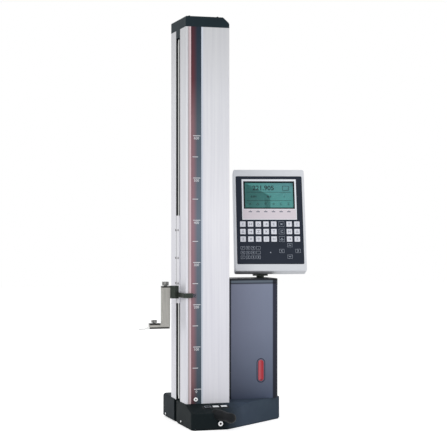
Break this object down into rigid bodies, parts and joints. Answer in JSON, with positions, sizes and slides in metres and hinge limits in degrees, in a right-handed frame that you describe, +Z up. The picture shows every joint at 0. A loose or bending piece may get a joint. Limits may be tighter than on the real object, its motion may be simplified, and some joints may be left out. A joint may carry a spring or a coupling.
{
  "type": "height gauge",
  "caption": "Motor-driven height gauge: ribbed foot on air bearings, slotted column with a counterbalanced probe carriage, power housing and tilting control unit.",
  "frame": {"origin": "centre of the foot's ground underside", "axes": "+Z up along the column, -Y towards the operator, -X towards the probe"},
  "size_m": [0.4405, 0.3221, 0.973],
  "materials": {
    "grey_cast_paint": "dark grey two-part paint, semi-gloss",
    "cover_plastic": "moulded, fine texture",
    "satin_silver": "satin anodised",
    "cap_plastic": "moulded, fine texture",
    "ground_steel": "ground",
    "scale_print": "printed and lacquered",
    "black_plastic": "moulded",
    "plate_silver": "satin anodised",
    "dark_anodised": "dark anodised",
    "bright_steel": "bright zinc",
    "blued_steel": "blackened",
    "nickel_steel": "matt nickel",
    "clear_acrylic": "clear",
    "carbide": "ground",
    "belt_rubber": "moulded",
    "weight_iron": "plain casting",
    "brass": "turned",
    "housing_paint": "grey-blue, fine texture",
    "red_lens": "clear red",
    "circuit": "lacquered board",
    "grip_rubber": "soft, fine texture",
    "unit_grey": "light grey, fine texture",
    "foil_dark": "embossed foil",
    "bezel_pale": "printed foil",
    "key_white": "bonded caps",
    "screen_black": "black",
    "screen_liquid": "liquid-crystal panel",
    "screen_glass": "polished"
  },
  "bodies": {
    "stand": {"base_casting": "grey_cast_paint", "air_jets": "brass", "rear_cover": "cover_plastic", "column_bolts": "blued_steel", "column_profile": "satin_silver", "column_cap": "cap_plastic", "guide_bar": "ground_steel", "measuring_strip": "ground_steel", "slot_liners": "black_plastic", "scale_band": "scale_print", "scale_screw": "bright_steel", "drive_belt": "belt_rubber", "pulley_bracket": "ground_steel", "drive_motor": "black_plastic", "housing_shell": "housing_paint", "housing_lid": "cover_plastic", "housing_door": "housing_paint", "signal_lens": "red_lens", "battery_pack": "black_plastic", "air_pump": "plate_silver", "power_board": "circuit", "key_frame": "black_plastic", "switch_board": "circuit", "hand_grip": "grip_rubber", "supply_socket": "bright_steel"},
    "carriage": {"carriage_plate": "plate_silver", "carriage_cheeks": "plate_silver", "roller_cartridges": "ground_steel", "carriage_screws": "blued_steel", "pickup_board": "circuit", "belt_clamp": "plate_silver", "clamp_block": "dark_anodised", "pointer_arm": "dark_anodised", "index_window": "clear_acrylic", "probe_holder": "nickel_steel", "holder_top_plate": "blued_steel", "stylus_jaw": "blued_steel", "stylus_shoe": "blued_steel", "stylus": "carbide"},
    "holder_screw": {"holder_screw": "blued_steel"},
    "stylus_screw": {"stylus_screw": "blued_steel"},
    "counterweight": {"counterweight": "weight_iron"},
    "upper_pulley": {"upper_pulley": "plate_silver"},
    "drive_pulley": {"drive_pulley": "plate_silver"},
    "swivel": {"swivel_neck": "dark_anodised", "tilt_pin": "ground_steel"},
    "unit": {"unit_front": "unit_grey", "unit_rear": "unit_grey", "keypad_foil": "foil_dark", "screen_bezel": "bezel_pale", "screen_frame": "screen_black", "screen_panel": "screen_liquid", "screen_glass": "screen_glass", "white_keys": "key_white", "unit_board": "circuit", "tilt_lug": "dark_anodised"},
    "quick_key_1": {"quick_key_1": "black_plastic"},
    "quick_key_2": {"quick_key_2": "black_plastic"},
    "quick_key_3": {"quick_key_3": "black_plastic"}
  },
  "joints": [
    {"name": "carriage_slide", "type": "slide", "parent": "stand", "child": "carriage", "axis": [0, 0, 1], "range_m": [-0.226, 0.384]},
    {"name": "counterweight_slide", "type": "slide", "parent": "stand", "child": "counterweight", "axis": [0, 0, 1], "range_m": [-0.384, 0.226]},
    {"name": "upper_pulley_spin", "type": "hinge", "parent": "stand", "child": "upper_pulley", "pos_m": [-0.085, -0.052, 0.885], "axis": [0, 1, 0], "range_deg": [-430, 730]},
    {"name": "drive_pulley_spin", "type": "hinge", "parent": "stand", "child": "drive_pulley", "pos_m": [-0.085, -0.052, 0.1], "axis": [0, 1, 0], "range_deg": [-430, 730]},
    {"name": "holder_screw_turn", "type": "hinge", "parent": "carriage", "child": "holder_screw", "pos_m": [-0.1616, -0.0065, 0.34], "axis": [0, 0, 1], "range_deg": [0, 540]},
    {"name": "stylus_screw_turn", "type": "hinge", "parent": "carriage", "child": "stylus_screw", "pos_m": [-0.1896, -0.0065, 0.246], "axis": [0, 0, 1], "range_deg": [0, 540]},
    {"name": "unit_swivel", "type": "hinge", "parent": "stand", "child": "swivel", "pos_m": [0.095, 0.042, 0.348], "axis": [0, 0, 1], "range_deg": [-31.5, 58.5]},
    {"name": "unit_tilt", "type": "hinge", "parent": "swivel", "child": "unit", "pos_m": [0.095, 0.042, 0.374], "axis": [0.9724, -0.2334, 0], "range_deg": [-30, 15]},
    {"name": "quick_key_1_press", "type": "slide", "parent": "stand", "child": "quick_key_1", "axis": [0, 0.2617, -0.9651], "range_m": [0, 0.0015], "stiffness_N_per_m": 600},
    {"name": "quick_key_2_press", "type": "slide", "parent": "stand", "child": "quick_key_2", "axis": [0, 0.2617, -0.9651], "range_m": [0, 0.0015], "stiffness_N_per_m": 600},
    {"name": "quick_key_3_press", "type": "slide", "parent": "stand", "child": "quick_key_3", "axis": [0, 0.2617, -0.9651], "range_m": [0, 0.0015], "stiffness_N_per_m": 600}
  ],
  "couplings": [
    {"joint": "counterweight_slide", "follows": "carriage_slide", "ratio": -1},
    {"joint": "upper_pulley_spin", "follows": "carriage_slide", "rad_per_m": 33.003},
    {"joint": "drive_pulley_spin", "follows": "carriage_slide", "rad_per_m": 33.003}
  ]
}
